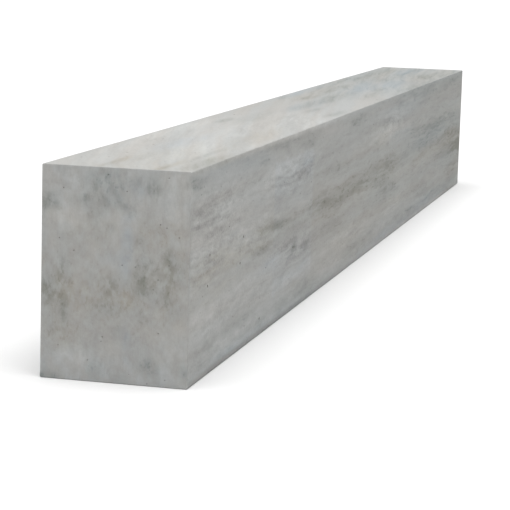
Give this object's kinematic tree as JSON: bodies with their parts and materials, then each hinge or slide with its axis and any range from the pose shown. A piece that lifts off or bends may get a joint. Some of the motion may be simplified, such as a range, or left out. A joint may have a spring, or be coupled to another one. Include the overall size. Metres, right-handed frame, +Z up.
{
  "type": "concrete lintel",
  "caption": "Solid rectangular precast concrete lintel, a short beam that spans a door or window opening and carries the wall above it.",
  "frame": {"origin": "middle of the soffit, the underside that bears on the wall at both ends", "axes": "+X along the span, +Y across the wall, +Z up towards the face that carries the masonry"},
  "size_m": [1.2, 0.1, 0.14],
  "materials": {
    "concrete": "matte"
  },
  "bodies": {
    "root": {"lintel": "concrete"}
  },
  "joints": []
}
